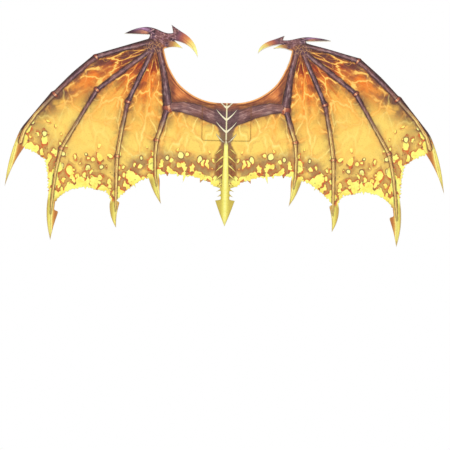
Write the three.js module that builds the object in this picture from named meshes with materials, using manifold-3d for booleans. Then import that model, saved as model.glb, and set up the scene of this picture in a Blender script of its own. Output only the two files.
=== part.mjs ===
// Costume dragon wings: one panel of stiff felt, cut to a pair of wings, that is worn on the back.
// A felt patch is sewn on the wearer's side, and an elastic loop for each shoulder is sewn on the patch.
//
// Millimetres and degrees. +Z is up, +Y is the way the wearer faces, and -Y is the printed side.
// The origin is the middle of the patch, on the face that lies against the wearer's back.
// The panel is drawn flat, u across and v up from that middle, and is then bent as it hangs when worn.
import * as THREE from 'three';
import { mergeVertices } from 'three/addons/utils/BufferGeometryUtils.js';
import Module from 'manifold-3d';

const wasm = await Module();
wasm.setup();

// Cut size of the panel.
const wingSpan = 846;
const rise = 195;
const drop = 232;
const feltThickness = 2;

// Torn lower edge.
const toothPitch = 6.5;
const toothDepth = 3.2;
const dripLength = 13;

// Tail between the wings, with its thorns and arrowhead. Its reach is from the origin down to the tip.
const tailReach = 200;
const tailWidth = 17;
const thornLength = 9;
const arrowWidth = 38;
const arrowLength = 50;

// Patch and its seam.
const patchWidth = 97;
const patchHeight = 72;
const patchThickness = 2;
const patchCorner = 6;
const neckMargin = 2.6;
const seamGap = 0.3;

// Elastic loops, and the shoulder that they go round.
const strapWidth = 20;
const strapThickness = 1.2;
const strapInset = 3;
const shoulderOut = 155;
const shoulderDepth = 122;
const strapRise = 67;
const strapDrop = 72;

// How the felt bends when it is worn.
const flatMargin = 6;
const sweepLeft = 9;
const sweepRight = 17;
const sweepZone = 100;
const tipCurlLeft = 7;
const tipCurlRight = 1;
const tipCurlZone = 150;
const upperLean = 12;
const upperLeanZone = 48;
const thumbLeanLeft = 8;
const thumbLeanRight = 42;
const thumbLeanStart = 138;
const thumbLeanZone = 24;
const hemFlare = 7;
const hemFlareZone = 110;
const waveDepth = 5;
const wavePitch = 104;

// Largest spacing of the field's bend lines, across and up.
const lineStepAcross = 26;
const lineStepHem = 32;
const lineStepShoulder = 18;
const lineStepWrist = 6;

const halfSpan = wingSpan / 2;
const neckBottom = patchHeight / 2 + neckMargin;

const smooth = THREE.MathUtils.smoothstep;
const toRadians = THREE.MathUtils.degToRad;

// The outline of one wing, from the middle of the neckline over the top and back to the tail.
// A row is one stretch: it ends at across, as a share of the half span, and at up, as a share of the rise,
// or of the drop where up is negative. bow is how far it bulges out of the felt, as a share of its length.
// torn is true on the burnt hem, and drips are longer teeth there: at is a share of the stretch's length.
const neckEdge = [
  { across: 0.226, up: 0.39, bow: -0.12 },
  { across: 0.294, up: 0.735, bow: -0.06 },
];
const thumb = [
  { across: 0.208, up: 0.746, bow: -0.09 },
  { across: 0.247, up: 0.827, bow: 0.02 },
  { across: 0.137, up: 0.648, bow: -0.14 },
  { across: 0.214, up: 0.926, bow: 0.14 },
  { across: 0.262, up: 1, bow: 0.03 },
  { across: 0.253, up: 0.908, bow: -0.05 },
  { across: 0.302, up: 0.918, bow: -0.1 },
  { across: 0.372, up: 0.97, bow: 0.06 },
  { across: 0.478, up: 0.885, bow: 0.07 },
  { across: 0.359, up: 0.884, bow: -0.025 },
  { across: 0.365, up: 0.838, bow: -0.12 },
];
const leadingEdge = [
  { across: 0.603, up: 0.656, bow: 0.005 },
  { across: 0.62, up: 0.634, bow: 0.2 },
  { across: 0.786, up: 0.272, bow: 0.018 },
  { across: 0.805, up: 0.24, bow: 0.16 },
  { across: 0.932, up: -0.09, bow: 0.01 },
];
const outerClaw = [
  { across: 1, up: -0.568, bow: 0.045 },
  { across: 0.914, up: -0.246, bow: -0.045 },
  { across: 0.819, up: -0.338, bow: -0.055, torn: true },
  { across: 0.802, up: -0.606, bow: -0.035, torn: true },
];
const longClaw = [
  { across: 0.789, up: -1, bow: 0.06 },
  { across: 0.756, up: -0.764, bow: -0.03 },
  { across: 0.776, up: -0.752, bow: 0.1 },
  { across: 0.772, up: -0.687, bow: -0.05 },
  { across: 0.725, up: -0.598, bow: -0.08, torn: true },
  { across: 0.63, up: -0.555, bow: -0.045, torn: true, drips: [{ at: 0.85, reach: 0.4 }] },
  { across: 0.547, up: -0.585, bow: 0.02, torn: true },
  { across: 0.521, up: -0.652, bow: -0.1, torn: true },
];
const middleClaw = [
  { across: 0.527, up: -0.691, bow: 0.1 },
  { across: 0.494, up: -0.892, bow: 0.08 },
  { across: 0.48, up: -0.678, bow: -0.05 },
  { across: 0.496, up: -0.66, bow: 0.1 },
  { across: 0.408, up: -0.523, bow: -0.05, torn: true, drips: [{ at: 0.93, reach: 0.6 }] },
  { across: 0.351, up: -0.471, bow: -0.1, torn: true },
];
const innerClaw = [
  { across: 0.292, up: -0.685, bow: 0.05 },
  { across: 0.299, up: -0.491, bow: -0.04 },
  { across: 0.304, up: -0.438, bow: -0.02 },
  {
    across: 0.18, up: -0.447, bow: -0.055, torn: true,
    drips: [{ at: 0.36, reach: 0.4 }, { at: 0.72, reach: 0.45 }, { at: 0.9, reach: 1.1 }],
  },
  {
    across: 0.047, up: -0.53, bow: -0.095, torn: true,
    drips: [{ at: 0.47, reach: 0.7 }],
  },
];
const wingOutline = [neckEdge, thumb, leadingEdge, outerClaw, longClaw, middleClaw, innerClaw].flat();

// Thorns beside the tail: down is a share of the way from the hem to the arrowhead.
const thorns = [
  { down: 0.22, reach: 1 },
  { down: 0.6, reach: 0.8 },
];

// The route of a shoulder loop from the patch's upper edge round to its lower one, on the wearer's right.
// out, fore and up are shares of the shoulder's sizes, of the strap's drop where up is negative.
// The face columns are the direction that the outer face of the elastic looks in.
const strapStations = [
  { out: 0.46, fore: 0.02, up: 0.46, faceX: 0, faceY: -1, faceZ: 0.1 },
  { out: 0.64, fore: 0.18, up: 0.8, faceX: 0, faceY: -0.7, faceZ: 0.7 },
  { out: 0.81, fore: 0.5, up: 1, faceX: 0.1, faceY: 0, faceZ: 1 },
  { out: 0.86, fore: 0.84, up: 0.78, faceX: 0.15, faceY: 0.7, faceZ: 0.7 },
  { out: 0.88, fore: 1, up: 0.25, faceX: 0.2, faceY: 1, faceZ: 0.1 },
  { out: 0.91, fore: 0.95, up: -0.35, faceX: 0.45, faceY: 0.9, faceZ: 0 },
  { out: 0.98, fore: 0.75, up: -0.82, faceX: 0.85, faceY: 0.5, faceZ: -0.1 },
  { out: 1, fore: 0.47, up: -1, faceX: 1, faceY: -0.1, faceZ: -0.1 },
  { out: 0.89, fore: 0.19, up: -0.93, faceX: 0.7, faceY: -0.75, faceZ: 0 },
  { out: 0.66, fore: 0.05, up: -0.7, faceX: 0.15, faceY: -1, faceZ: 0 },
];

// A repeatable uneven number from 0 to 1 for the k-th tooth.
function uneven(k) {
  const golden = 0.618034;
  return (k * golden) % 1;
}

function flatPoint(row) {
  return new THREE.Vector2(row.across * halfSpan, row.up * (row.up > 0 ? rise : drop));
}

// The curve from one point to the next that bulges to the left of its way by a share of its length.
function bowedCurve(from, to, bow) {
  const way = to.clone().sub(from);
  const middle = from.clone().add(to).multiplyScalar(0.5);
  middle.add(new THREE.Vector2(-way.y, way.x).multiplyScalar(2 * bow));
  return new THREE.QuadraticBezierCurve(from, middle, to);
}

// Points of a plain stretch, without its first one: about one for each millimetre that it bulges.
function plainStretch(curve, bow) {
  const bulge = Math.abs(bow) * curve.getLength();
  const fewest = 1;
  const most = 9;
  return curve.getPoints(Math.round(THREE.MathUtils.clamp(bulge, fewest, most))).slice(1);
}

// Points of a torn stretch: uneven teeth that point out of the felt, and the longer drips. A tooth starts
// up to a drift late, as a share of its pitch, and has its peak near the middle.
function tornStretch(curve, drips = []) {
  const drift = 0.3;
  const firstPeak = 0.35;
  const teeth = Math.max(2, Math.round(curve.getLength() / toothPitch));
  const dripTeeth = new Map(drips.map((drip) => [Math.floor(drip.at * teeth), drip.reach * dripLength]));
  const points = [];
  for (let k = 0; k < teeth; k++) {
    const start = (k + drift * uneven(3 * k + 1)) / teeth;
    const peak = (k + firstPeak + drift * uneven(5 * k + 2)) / teeth;
    const depth = dripTeeth.get(k) ?? toothDepth * (0.35 + 0.75 * uneven(k + 1));
    for (const [share, reach] of [[start, 0], [peak, depth]]) {
      const along = curve.getTangentAt(share);
      const out = new THREE.Vector2(-along.y, along.x);
      if (share > 0) points.push(curve.getPointAt(share).add(out.multiplyScalar(reach)));
    }
  }
  points.push(curve.getPointAt(1));
  return points;
}

// One side of the tail, from the end of the hem to its tip on the middle line.
function tailPoints(hemEnd) {
  const arrowTop = arrowLength - tailReach;
  const half = tailWidth / 2;
  const thornHeight = 0.45 * thornLength;
  const points = [];
  for (const thorn of thorns) {
    const at = THREE.MathUtils.lerp(hemEnd.y, arrowTop, thorn.down);
    points.push(new THREE.Vector2(half, at + thornHeight / 2));
    points.push(new THREE.Vector2(half + thorn.reach * thornLength, at - thornHeight));
    points.push(new THREE.Vector2(half, at - thornHeight / 2));
  }
  const barbDip = 0.04 * arrowLength;
  points.push(new THREE.Vector2(half, arrowTop + barbDip));
  points.push(new THREE.Vector2(arrowWidth / 2, arrowTop));
  points.push(new THREE.Vector2(0.26 * arrowWidth, arrowTop - 0.52 * arrowLength));
  points.push(new THREE.Vector2(0, -tailReach));
  return points;
}

// The flat outline of the wearer's right half, from the neckline's middle to the tail's tip.
function halfOutline() {
  const points = [new THREE.Vector2(0, neckBottom)];
  for (const row of wingOutline) {
    const from = points[points.length - 1].clone();
    const curve = bowedCurve(from, flatPoint(row), row.bow);
    points.push(...(row.torn ? tornStretch(curve, row.drips) : plainStretch(curve, row.bow)));
  }
  points.push(...tailPoints(points[points.length - 1]));
  return points;
}

// Where a line of felt gets to that starts straight and turns by each zone's angle on its way.
function walk(distance, zones) {
  const step = 2;
  const steps = Math.max(1, Math.ceil(distance / step));
  const stride = distance / steps;
  let along = 0;
  let aside = 0;
  for (let i = 0; i < steps; i++) {
    const at = (i + 0.5) * stride;
    let angle = 0;
    for (const zone of zones) {
      angle += zone.turn * THREE.MathUtils.clamp((at - zone.from) / zone.length, 0, 1);
    }
    along += stride * Math.cos(toRadians(angle));
    aside += stride * Math.sin(toRadians(angle));
  }
  return { along, aside };
}

const sweepStart = patchWidth / 2 + flatMargin;
const leanStart = patchHeight / 2 + flatMargin + neckMargin;
const wristInside = neckEdge[neckEdge.length - 1].across * halfSpan;
const hookReach = 0.8 * wristInside;
const hookBottom = 0.54 * rise;
const tipCurlStart = halfSpan - tipCurlZone;
const hemZones = [{ from: drop - hemFlareZone, length: hemFlareZone, turn: hemFlare }];

function sweepZones(u) {
  return [
    { from: sweepStart, length: sweepZone, turn: u > 0 ? sweepRight : sweepLeft },
    { from: tipCurlStart, length: tipCurlZone, turn: u > 0 ? -tipCurlRight : -tipCurlLeft },
  ];
}

// Where the upper felt gets to at a height. The thumb turns at the wrist as one stiff piece, so its hooked
// tip, which hangs beside the wrist, swings the other way.
function leanedHeight(u, v) {
  const toRight = smooth(u, -leanStart, leanStart);
  const thumbLean = THREE.MathUtils.lerp(thumbLeanLeft, thumbLeanRight, toRight);
  const zones = [
    { from: leanStart, length: upperLeanZone, turn: upperLean },
    { from: thumbLeanStart, length: thumbLeanZone, turn: thumbLean },
  ];
  const height = walk(v, zones);
  const below = thumbLeanStart + thumbLeanZone - v;
  if (below <= 0) return height;
  const beside = 1 - smooth(Math.abs(u), hookReach, wristInside);
  const hanging = beside * smooth(v, hookBottom, thumbLeanStart - thumbLeanZone);
  const wrist = walk(v + below, zones);
  const lean = toRadians(upperLean + thumbLean);
  return {
    along: THREE.MathUtils.lerp(height.along, wrist.along - below * Math.cos(lean), hanging),
    aside: THREE.MathUtils.lerp(height.aside, wrist.aside - below * Math.sin(lean), hanging),
  };
}

// The soft waves between the fingers, which grow from the arms to the hem.
function wave(u, v) {
  const away = Math.abs(u);
  const share = smooth(away, sweepStart, sweepStart + wavePitch) * smooth(-v, -0.1 * drop, 0.55 * drop);
  return waveDepth * share * Math.cos((2 * Math.PI * (halfSpan - away)) / wavePitch);
}

const strapMiddleY = -(patchThickness + seamGap + strapThickness / 2);
const panelMiddleY = strapMiddleY - strapThickness / 2 - seamGap - feltThickness / 2;

// Where a point of the flat felt's middle layer is when the wings are worn.
function worn(u, v) {
  const side = walk(Math.abs(u), sweepZones(u));
  const height = v > 0 ? leanedHeight(u, v) : walk(-v, hemZones);
  return new THREE.Vector3(
    Math.sign(u) * side.along,
    panelMiddleY - side.aside + Math.sign(v) * height.aside + wave(u, v),
    Math.sign(v) * height.along,
  );
}

// The same at some way out of the middle layer: negative towards the printed face.
function wornLayer(u, v, offset) {
  const reach = 0.5;
  const across = worn(u + reach, v).sub(worn(u - reach, v));
  const up = worn(u, v + reach).sub(worn(u, v - reach));
  const towardsWearer = up.cross(across).normalize();
  return worn(u, v).addScaledVector(towardsWearer, offset);
}

// Lines at most a step apart from low to high that also pass through the stated places.
function gridLines(low, high, step, places) {
  const stops = [low, ...places.filter((p) => p > low && p < high).sort((a, b) => a - b), high];
  const lines = [low];
  for (let i = 1; i < stops.length; i++) {
    const parts = Math.max(1, Math.ceil((stops[i] - stops[i - 1]) / step));
    for (let k = 1; k <= parts; k++) lines.push(THREE.MathUtils.lerp(stops[i - 1], stops[i], k / parts));
  }
  return lines;
}

// A closed mesh of rows of points, each row a ring, with flat ends.
function ringsGeometry(rings) {
  const sides = rings[0].length;
  const positions = rings.flat().flatMap((p) => [p.x, p.y, p.z]);
  const index = [];
  for (let i = 0; i + 1 < rings.length; i++) {
    for (let k = 0; k < sides; k++) {
      const a = i * sides + k;
      const b = i * sides + ((k + 1) % sides);
      index.push(a, b, b + sides, a, b + sides, a + sides);
    }
  }
  const last = (rings.length - 1) * sides;
  for (let k = 1; k + 1 < sides; k++) {
    index.push(0, k + 1, k);
    index.push(last, last + k, last + k + 1);
  }
  const geometry = new THREE.BufferGeometry();
  geometry.setAttribute('position', new THREE.Float32BufferAttribute(positions, 3));
  geometry.setIndex(index);
  return geometry;
}

// A sheet of felt as thick as stated, bent as worn, that covers a whole field of u and v lines.
function bentSheet(uLines, vLines, thickness) {
  const width = uLines.length;
  const size = width * vLines.length;
  const positions = [];
  for (const offset of [-thickness / 2, thickness / 2]) {
    for (const v of vLines) {
      for (const u of uLines) positions.push(...wornLayer(u, v, offset).toArray());
    }
  }
  const index = [];
  for (let j = 0; j + 1 < vLines.length; j++) {
    for (let i = 0; i + 1 < width; i++) {
      const a = j * width + i;
      index.push(a, a + 1, a + width + 1, a, a + width + 1, a + width);
      index.push(size + a, size + a + width + 1, size + a + 1);
      index.push(size + a, size + a + width, size + a + width + 1);
    }
  }
  const rim = [];
  for (let i = 0; i < width; i++) rim.push(i);
  for (let j = 1; j < vLines.length; j++) rim.push(j * width + width - 1);
  for (let i = width - 2; i >= 0; i--) rim.push((vLines.length - 1) * width + i);
  for (let j = vLines.length - 2; j > 0; j--) rim.push(j * width);
  rim.forEach((a, k) => {
    const b = rim[(k + 1) % rim.length];
    index.push(a, size + a, size + b, a, size + b, b);
  });
  const geometry = new THREE.BufferGeometry();
  geometry.setAttribute('position', new THREE.Float32BufferAttribute(positions, 3));
  geometry.setIndex(index);
  return geometry;
}

function toSolid(geometry) {
  const plain = geometry.clone();
  plain.deleteAttribute('normal');
  plain.deleteAttribute('uv');
  const merged = mergeVertices(plain, 1e-3);
  return new wasm.Manifold(new wasm.Mesh({
    numProp: 3,
    vertProperties: merged.attributes.position.array,
    triVerts: new Uint32Array(merged.index.array),
  }));
}

function toGeometry(solid) {
  const mesh = solid.getMesh();
  const geometry = new THREE.BufferGeometry();
  geometry.setAttribute('position', new THREE.BufferAttribute(mesh.vertProperties, 3));
  geometry.setIndex(new THREE.BufferAttribute(mesh.triVerts, 1));
  geometry.computeVertexNormals();
  return geometry;
}

// The panel: a bent field of felt, cut straight through along the worn outline.
function panelGeometry() {
  const margin = 8;
  const uReach = halfSpan + margin;
  const thumbLeanEnd = thumbLeanStart + thumbLeanZone;
  const bends = [sweepStart, sweepStart + sweepZone, tipCurlStart, hookReach, wristInside];
  const uLines = gridLines(-uReach, uReach, lineStepAcross, [0, ...bends, ...bends.map((u) => -u)]);
  const vLines = [
    ...gridLines(-drop - margin, leanStart, lineStepHem, [0, hemFlareZone - drop]),
    ...gridLines(leanStart, thumbLeanStart, lineStepShoulder, [leanStart + upperLeanZone, hookBottom]).slice(1),
    ...gridLines(thumbLeanStart, thumbLeanEnd, lineStepWrist, []).slice(1),
    ...gridLines(thumbLeanEnd, rise + margin, lineStepHem, []).slice(1),
  ];
  const field = bentSheet(uLines, vLines, feltThickness);

  const right = halfOutline();
  const left = right.slice(1, -1).reverse().map((p) => new THREE.Vector2(-p.x, p.y));
  const outline = [...right, ...left].map((p) => {
    const place = worn(p.x, p.y);
    return new THREE.Vector2(place.x, place.z);
  });
  const cutDepth = wingSpan;
  const cutter = new THREE.ExtrudeGeometry(new THREE.Shape(outline), { depth: cutDepth, bevelEnabled: false });
  cutter.rotateX(Math.PI / 2);
  cutter.translate(0, cutDepth / 2, 0);
  return toGeometry(toSolid(field).intersect(toSolid(cutter)));
}

// The patch: a felt rectangle with round corners, flat against the wearer's back.
function patchGeometry() {
  const w = patchWidth / 2;
  const h = patchHeight / 2;
  const r = patchCorner;
  const shape = new THREE.Shape();
  shape.moveTo(r - w, -h);
  shape.lineTo(w - r, -h);
  shape.absarc(w - r, r - h, r, -Math.PI / 2, 0);
  shape.lineTo(w, h - r);
  shape.absarc(w - r, h - r, r, 0, Math.PI / 2);
  shape.lineTo(r - w, h);
  shape.absarc(r - w, h - r, r, Math.PI / 2, Math.PI);
  shape.lineTo(-w, r - h);
  shape.absarc(r - w, r - h, r, Math.PI, 1.5 * Math.PI);
  const settings = { depth: patchThickness, bevelEnabled: false, curveSegments: 6 };
  return new THREE.ExtrudeGeometry(shape, settings).rotateX(Math.PI / 2);
}

// A shoulder loop: a flat elastic band whose two ends lie between the panel and the patch. side is 1 on the
// wearer's right. An end row's across is a share of the patch's width, its up of the height of the exit.
function strapGeometry(side) {
  const exitUp = patchHeight / 2 - strapInset - strapWidth / 2;
  const endRow = (across, up) => ({
    place: new THREE.Vector3(across * patchWidth, strapMiddleY, up * exitUp),
    face: new THREE.Vector3(0, -1, 0),
  });
  const route = strapStations.map((row) => ({
    place: new THREE.Vector3(
      row.out * shoulderOut,
      row.fore * shoulderDepth,
      row.up * (row.up > 0 ? strapRise : strapDrop),
    ),
    face: new THREE.Vector3(row.faceX, row.faceY, row.faceZ).normalize(),
  }));
  const stations = [
    endRow(0.13, 0.72), endRow(0.49, 0.98), endRow(0.54, 1),
    ...route,
    endRow(0.54, -1), endRow(0.49, -0.98), endRow(0.13, -0.72),
  ];
  const middleLine = new THREE.CatmullRomCurve3(stations.map((s) => s.place), false, 'centripetal');
  const stepsPerStation = 6;
  const count = (stations.length - 1) * stepsPerStation;
  const rings = [];
  for (let i = 0; i <= count; i++) {
    const t = i / count;
    const along = middleLine.getTangent(t);
    const station = Math.min(Math.floor(i / stepsPerStation), stations.length - 2);
    const face = stations[station].face.clone();
    face.lerp(stations[station + 1].face, i / stepsPerStation - station);
    face.addScaledVector(along, -face.dot(along)).normalize();
    const across = new THREE.Vector3().crossVectors(along, face).normalize();
    const ring = [[-1, -1], [-1, 1], [1, 1], [1, -1]].map(([a, b]) => {
      const corner = middleLine.getPoint(t);
      corner.addScaledVector(across, (a * strapWidth) / 2);
      corner.addScaledVector(face, (b * strapThickness) / 2);
      return new THREE.Vector3(side * corner.x, corner.y, corner.z);
    });
    rings.push(side > 0 ? ring : ring.reverse());
  }
  return ringsGeometry(rings);
}

function namedMesh(name, geometry, colour, roughness) {
  const material = new THREE.MeshStandardMaterial({ color: colour, roughness, metalness: 0 });
  const mesh = new THREE.Mesh(geometry, material);
  mesh.name = name;
  return mesh;
}

const printedAmber = 0xe3a845;
const feltWhite = 0xe9e4d8;
const elasticBlack = 0x17171a;

const wings = new THREE.Group();
wings.add(namedMesh('wing_panel', panelGeometry(), printedAmber, 0.85));
wings.add(namedMesh('strap_patch', patchGeometry(), feltWhite, 0.95));
wings.add(namedMesh('strap_left', strapGeometry(-1), elasticBlack, 0.8));
wings.add(namedMesh('strap_right', strapGeometry(1), elasticBlack, 0.8));

export default wings;
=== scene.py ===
# Costume dragon wings of printed felt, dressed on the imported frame.
# Metres, +Z up, and the print looks along -Y. Flat measures of the cut are millimetres.
import math

import bpy
import numpy as np
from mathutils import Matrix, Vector
from mathutils.geometry import delaunay_2d_cdt


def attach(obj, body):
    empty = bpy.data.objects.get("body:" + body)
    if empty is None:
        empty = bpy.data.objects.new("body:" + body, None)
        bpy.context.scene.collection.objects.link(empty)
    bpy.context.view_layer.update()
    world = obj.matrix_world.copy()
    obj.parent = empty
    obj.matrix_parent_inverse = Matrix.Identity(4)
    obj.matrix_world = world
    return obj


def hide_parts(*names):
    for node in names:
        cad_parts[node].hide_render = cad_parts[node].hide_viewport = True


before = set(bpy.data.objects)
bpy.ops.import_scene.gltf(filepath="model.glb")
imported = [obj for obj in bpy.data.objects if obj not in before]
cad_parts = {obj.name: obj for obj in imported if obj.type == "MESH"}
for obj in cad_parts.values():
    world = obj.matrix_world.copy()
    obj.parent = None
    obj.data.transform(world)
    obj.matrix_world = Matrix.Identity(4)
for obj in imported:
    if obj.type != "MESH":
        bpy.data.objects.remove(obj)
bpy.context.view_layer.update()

MM = 0.001

# Camera: at the height of the wearer's waist, 3 m behind the felt, with the photograph's small roll.
DISTANCE = 3.0
MM_PER_PIXEL = 1.93
ROLL = math.radians(1.15)
PICTURE = 450
ORIGIN_PIXEL = (226.5, 123.0)
PANEL_Y = -3.3 * MM


def make_camera():
    right = Vector((math.cos(ROLL), 0, math.sin(ROLL)))
    up = Vector((-math.sin(ROLL), 0, math.cos(ROLL)))
    aside = (PICTURE / 2 - ORIGIN_PIXEL[0]) * MM_PER_PIXEL * MM
    below = (PICTURE / 2 - ORIGIN_PIXEL[1]) * MM_PER_PIXEL * MM
    data = bpy.data.cameras.new("camera")
    data.sensor_width = 36
    data.lens = 36 * DISTANCE / (PICTURE * MM_PER_PIXEL * MM)
    data.clip_end = 60
    camera = bpy.data.objects.new("camera", data)
    camera.location = Vector((0, PANEL_Y - DISTANCE, 0)) + right * aside - up * below
    camera.rotation_euler = (math.pi / 2, -ROLL, 0)
    bpy.context.scene.collection.objects.link(camera)
    bpy.context.scene.camera = camera


make_camera()

# The felt's bend when worn, in millimetres and degrees: u across and v up on the flat cut.
HALF_SPAN = 423.0
RISE = 195.0
DROP = 232.0
FELT = 2.0
SWEEP_START, SWEEP_ZONE, SWEEP_LEFT, SWEEP_RIGHT = 54.5, 100.0, 9.0, 17.0
CURL_ZONE, CURL_LEFT, CURL_RIGHT = 150.0, 7.0, 1.0
LEAN_START, LEAN_ZONE, LEAN = 44.6, 48.0, 12.0
THUMB_START, THUMB_ZONE, THUMB_LEFT, THUMB_RIGHT = 138.0, 24.0, 8.0, 42.0
HEM_FLARE, HEM_ZONE = 7.0, 110.0
WAVE_DEPTH, WAVE_PITCH = 5.0, 104.0
WRIST_INSIDE = 0.294 * HALF_SPAN
HOOK_REACH = 0.8 * WRIST_INSIDE
HOOK_BOTTOM = 0.54 * RISE
PANEL_MIDDLE_Y = -4.8


def smooth(x, low, high):
    t = np.clip((x - low) / (high - low), 0, 1)
    return t * t * (3 - 2 * t)


def walked(zones, reach=460.0):
    """Tables of where a line of felt gets to that turns by each zone's angle on its way."""
    step = 0.5
    middles = np.arange(step / 2, reach, step)
    angle = np.zeros_like(middles)
    for start, length, turn in zones:
        angle += turn * np.clip((middles - start) / length, 0, 1)
    angle = np.radians(angle)
    at = np.concatenate([[0], middles + step / 2])
    along = np.concatenate([[0], np.cumsum(step * np.cos(angle))])
    aside = np.concatenate([[0], np.cumsum(step * np.sin(angle))])
    return at, along, aside


def side_tables(sweep, curl, thumb):
    across = walked([(SWEEP_START, SWEEP_ZONE, sweep), (HALF_SPAN - CURL_ZONE, CURL_ZONE, -curl)])
    up = walked([(LEAN_START, LEAN_ZONE, LEAN), (THUMB_START, THUMB_ZONE, thumb)])
    return across, up, math.radians(LEAN + thumb)


SIDES = {
    -1: side_tables(SWEEP_LEFT, CURL_LEFT, THUMB_LEFT),
    1: side_tables(SWEEP_RIGHT, CURL_RIGHT, THUMB_RIGHT),
}
HEM = walked([(DROP - HEM_ZONE, HEM_ZONE, HEM_FLARE)])


def worn(u, v):
    """Where points of the flat felt's middle layer are when the wings are worn."""
    away = np.abs(u)
    out = np.zeros((len(u), 3))
    for side, (across, up, lean) in SIDES.items():
        mine = (u >= 0) if side > 0 else (u < 0)
        a, w = away[mine], v[mine]
        x = side * np.interp(a, across[0], across[1])
        y = -np.interp(a, across[0], across[2])
        raised = np.maximum(w, 0)
        along = np.interp(raised, up[0], up[1])
        aside = np.interp(raised, up[0], up[2])
        end = THUMB_START + THUMB_ZONE
        below = np.maximum(end - raised, 0)
        hanging = 1 - smooth(a, HOOK_REACH, WRIST_INSIDE)
        hanging = hanging * smooth(raised, HOOK_BOTTOM, THUMB_START - THUMB_ZONE)
        hanging = np.where(below > 0, hanging, 0)
        along += hanging * (np.interp(end, up[0], up[1]) - below * math.cos(lean) - along)
        aside += hanging * (np.interp(end, up[0], up[2]) - below * math.sin(lean) - aside)
        lowered = np.maximum(-w, 0)
        z = np.where(w > 0, along, -np.interp(lowered, HEM[0], HEM[1]))
        y += np.where(w > 0, aside, -np.interp(lowered, HEM[0], HEM[2]))
        share = smooth(a, SWEEP_START, SWEEP_START + WAVE_PITCH) * smooth(lowered, -0.1 * DROP, 0.55 * DROP)
        y += WAVE_DEPTH * share * np.cos(2 * math.pi * (HALF_SPAN - a) / WAVE_PITCH)
        out[mine] = np.stack([x, y + PANEL_MIDDLE_Y, z], 1)
    return out


def worn_normal(u, v):
    """Unit vectors towards the wearer."""
    reach = 0.5
    across = worn(u + reach, v) - worn(u - reach, v)
    up = worn(u, v + reach) - worn(u, v - reach)
    n = np.cross(up, across)
    return n / np.linalg.norm(n, axis=1)[:, None]


def flattened(x, z):
    """The flat u and v of points of the worn outline."""
    u = np.zeros_like(x)
    for side, (across, _, _) in SIDES.items():
        mine = (x >= 0) if side > 0 else (x < 0)
        u[mine] = side * np.interp(np.abs(x[mine]), across[1], across[0])
    low, high = np.full_like(z, -DROP - 20), np.full_like(z, RISE + 20)
    for _ in range(40):
        middle = (low + high) / 2
        above = worn(u, middle)[:, 2] < z
        low, high = np.where(above, middle, low), np.where(above, high, middle)
    return u, (low + high) / 2


# Plain helpers for meshes.
def mesh_data(obj):
    mesh = obj.data
    co = np.zeros(len(mesh.vertices) * 3)
    mesh.vertices.foreach_get("co", co)
    mesh.calc_loop_triangles()
    tri = np.zeros(len(mesh.loop_triangles) * 3, np.int64)
    mesh.loop_triangles.foreach_get("vertices", tri)
    co, tri = co.reshape(-1, 3) / MM, tri.reshape(-1, 3)
    keys = np.round(co, 3)
    _, first, same = np.unique(keys, axis=0, return_index=True, return_inverse=True)
    return co[first], same.reshape(-1)[tri]


def new_piece(name, points, faces, materials, face_slots=None):
    mesh = bpy.data.meshes.new(name)
    faces = [tuple(int(i) for i in face) for face in faces]
    mesh.from_pydata([tuple(p) for p in np.asarray(points) * MM], [], faces)
    for m in materials:
        mesh.materials.append(m)
    if face_slots is not None:
        mesh.polygons.foreach_set("material_index", np.asarray(face_slots, np.int32))
    mesh.polygons.foreach_set("use_smooth", np.full(len(mesh.polygons), True))
    mesh.update()
    obj = bpy.data.objects.new(name, mesh)
    bpy.context.scene.collection.objects.link(obj)
    return obj


def float_attribute(obj, name, values):
    made = obj.data.attributes.new(name, "FLOAT", "POINT")
    made.data.foreach_set("value", np.asarray(values, np.float32))


def vector_attribute(obj, name, values):
    made = obj.data.attributes.new(name, "FLOAT_VECTOR", "POINT")
    made.data.foreach_set("vector", np.asarray(values, np.float32).reshape(-1))


# The cut outline, flat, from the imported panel's printed side.
def printed_outline():
    co, tri = mesh_data(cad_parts["wing_panel"])
    a, b, c = co[tri[:, 0]], co[tri[:, 1]], co[tri[:, 2]]
    n = np.cross(b - a, c - a)
    n /= np.maximum(np.linalg.norm(n, axis=1), 1e-12)[:, None]
    front = tri[n[:, 1] < -0.3]
    edges = {(t[i], t[(i + 1) % 3]): True for t in front for i in range(3)}
    follow = {p: q for (p, q) in edges if (q, p) not in edges}
    start = next(iter(follow))
    loop, at = [start], follow[start]
    while at != start:
        loop.append(at)
        at = follow[at]
    ring = co[loop]
    u, v = flattened(ring[:, 0], ring[:, 2])
    return np.stack([u, v], 1)


def uneven(points, pitch, seed):
    """Smooth unevenness from -1 to 1 on flat points: a few crossing waves."""
    rng = np.random.default_rng(seed)
    total = np.zeros(len(points))
    for _ in range(7):
        a = rng.uniform(0, 2 * math.pi)
        k = 2 * math.pi / (pitch * rng.uniform(0.7, 1.5))
        total += np.cos(k * (points[:, 0] * math.cos(a) + points[:, 1] * math.sin(a)) + rng.uniform(0, 6.3))
    return total / 7


def resampled(ring, spacing):
    out = []
    for p, q in zip(ring, np.roll(ring, -1, 0)):
        parts = max(1, int(round(np.linalg.norm(q - p) / spacing)))
        for k in range(parts):
            out.append(p + (q - p) * k / parts)
    return np.array(out)


# How corners of the cut are rounded. Turns in degrees: under the first a point is no corner, under the
# second it is part of a curve, and over the third it is a tip that stays sharp. Then the longest stretch
# that is rounded off each side of a curve's corner and of a crotch.
STRAIGHT_TURN, CURVE_TURN, TIP_TURN = 1.5, 40, 130
CURVE_REACH, CROTCH_REACH = 10.0, 3.0
# The same as shares of the shorter edge, with a tooth's. Less than LEAST_REACH isn't rounded.
CURVE_SHARE, CROTCH_SHARE, TOOTH_SHARE, LEAST_REACH = 0.48, 0.3, 0.42, 0.15
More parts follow.
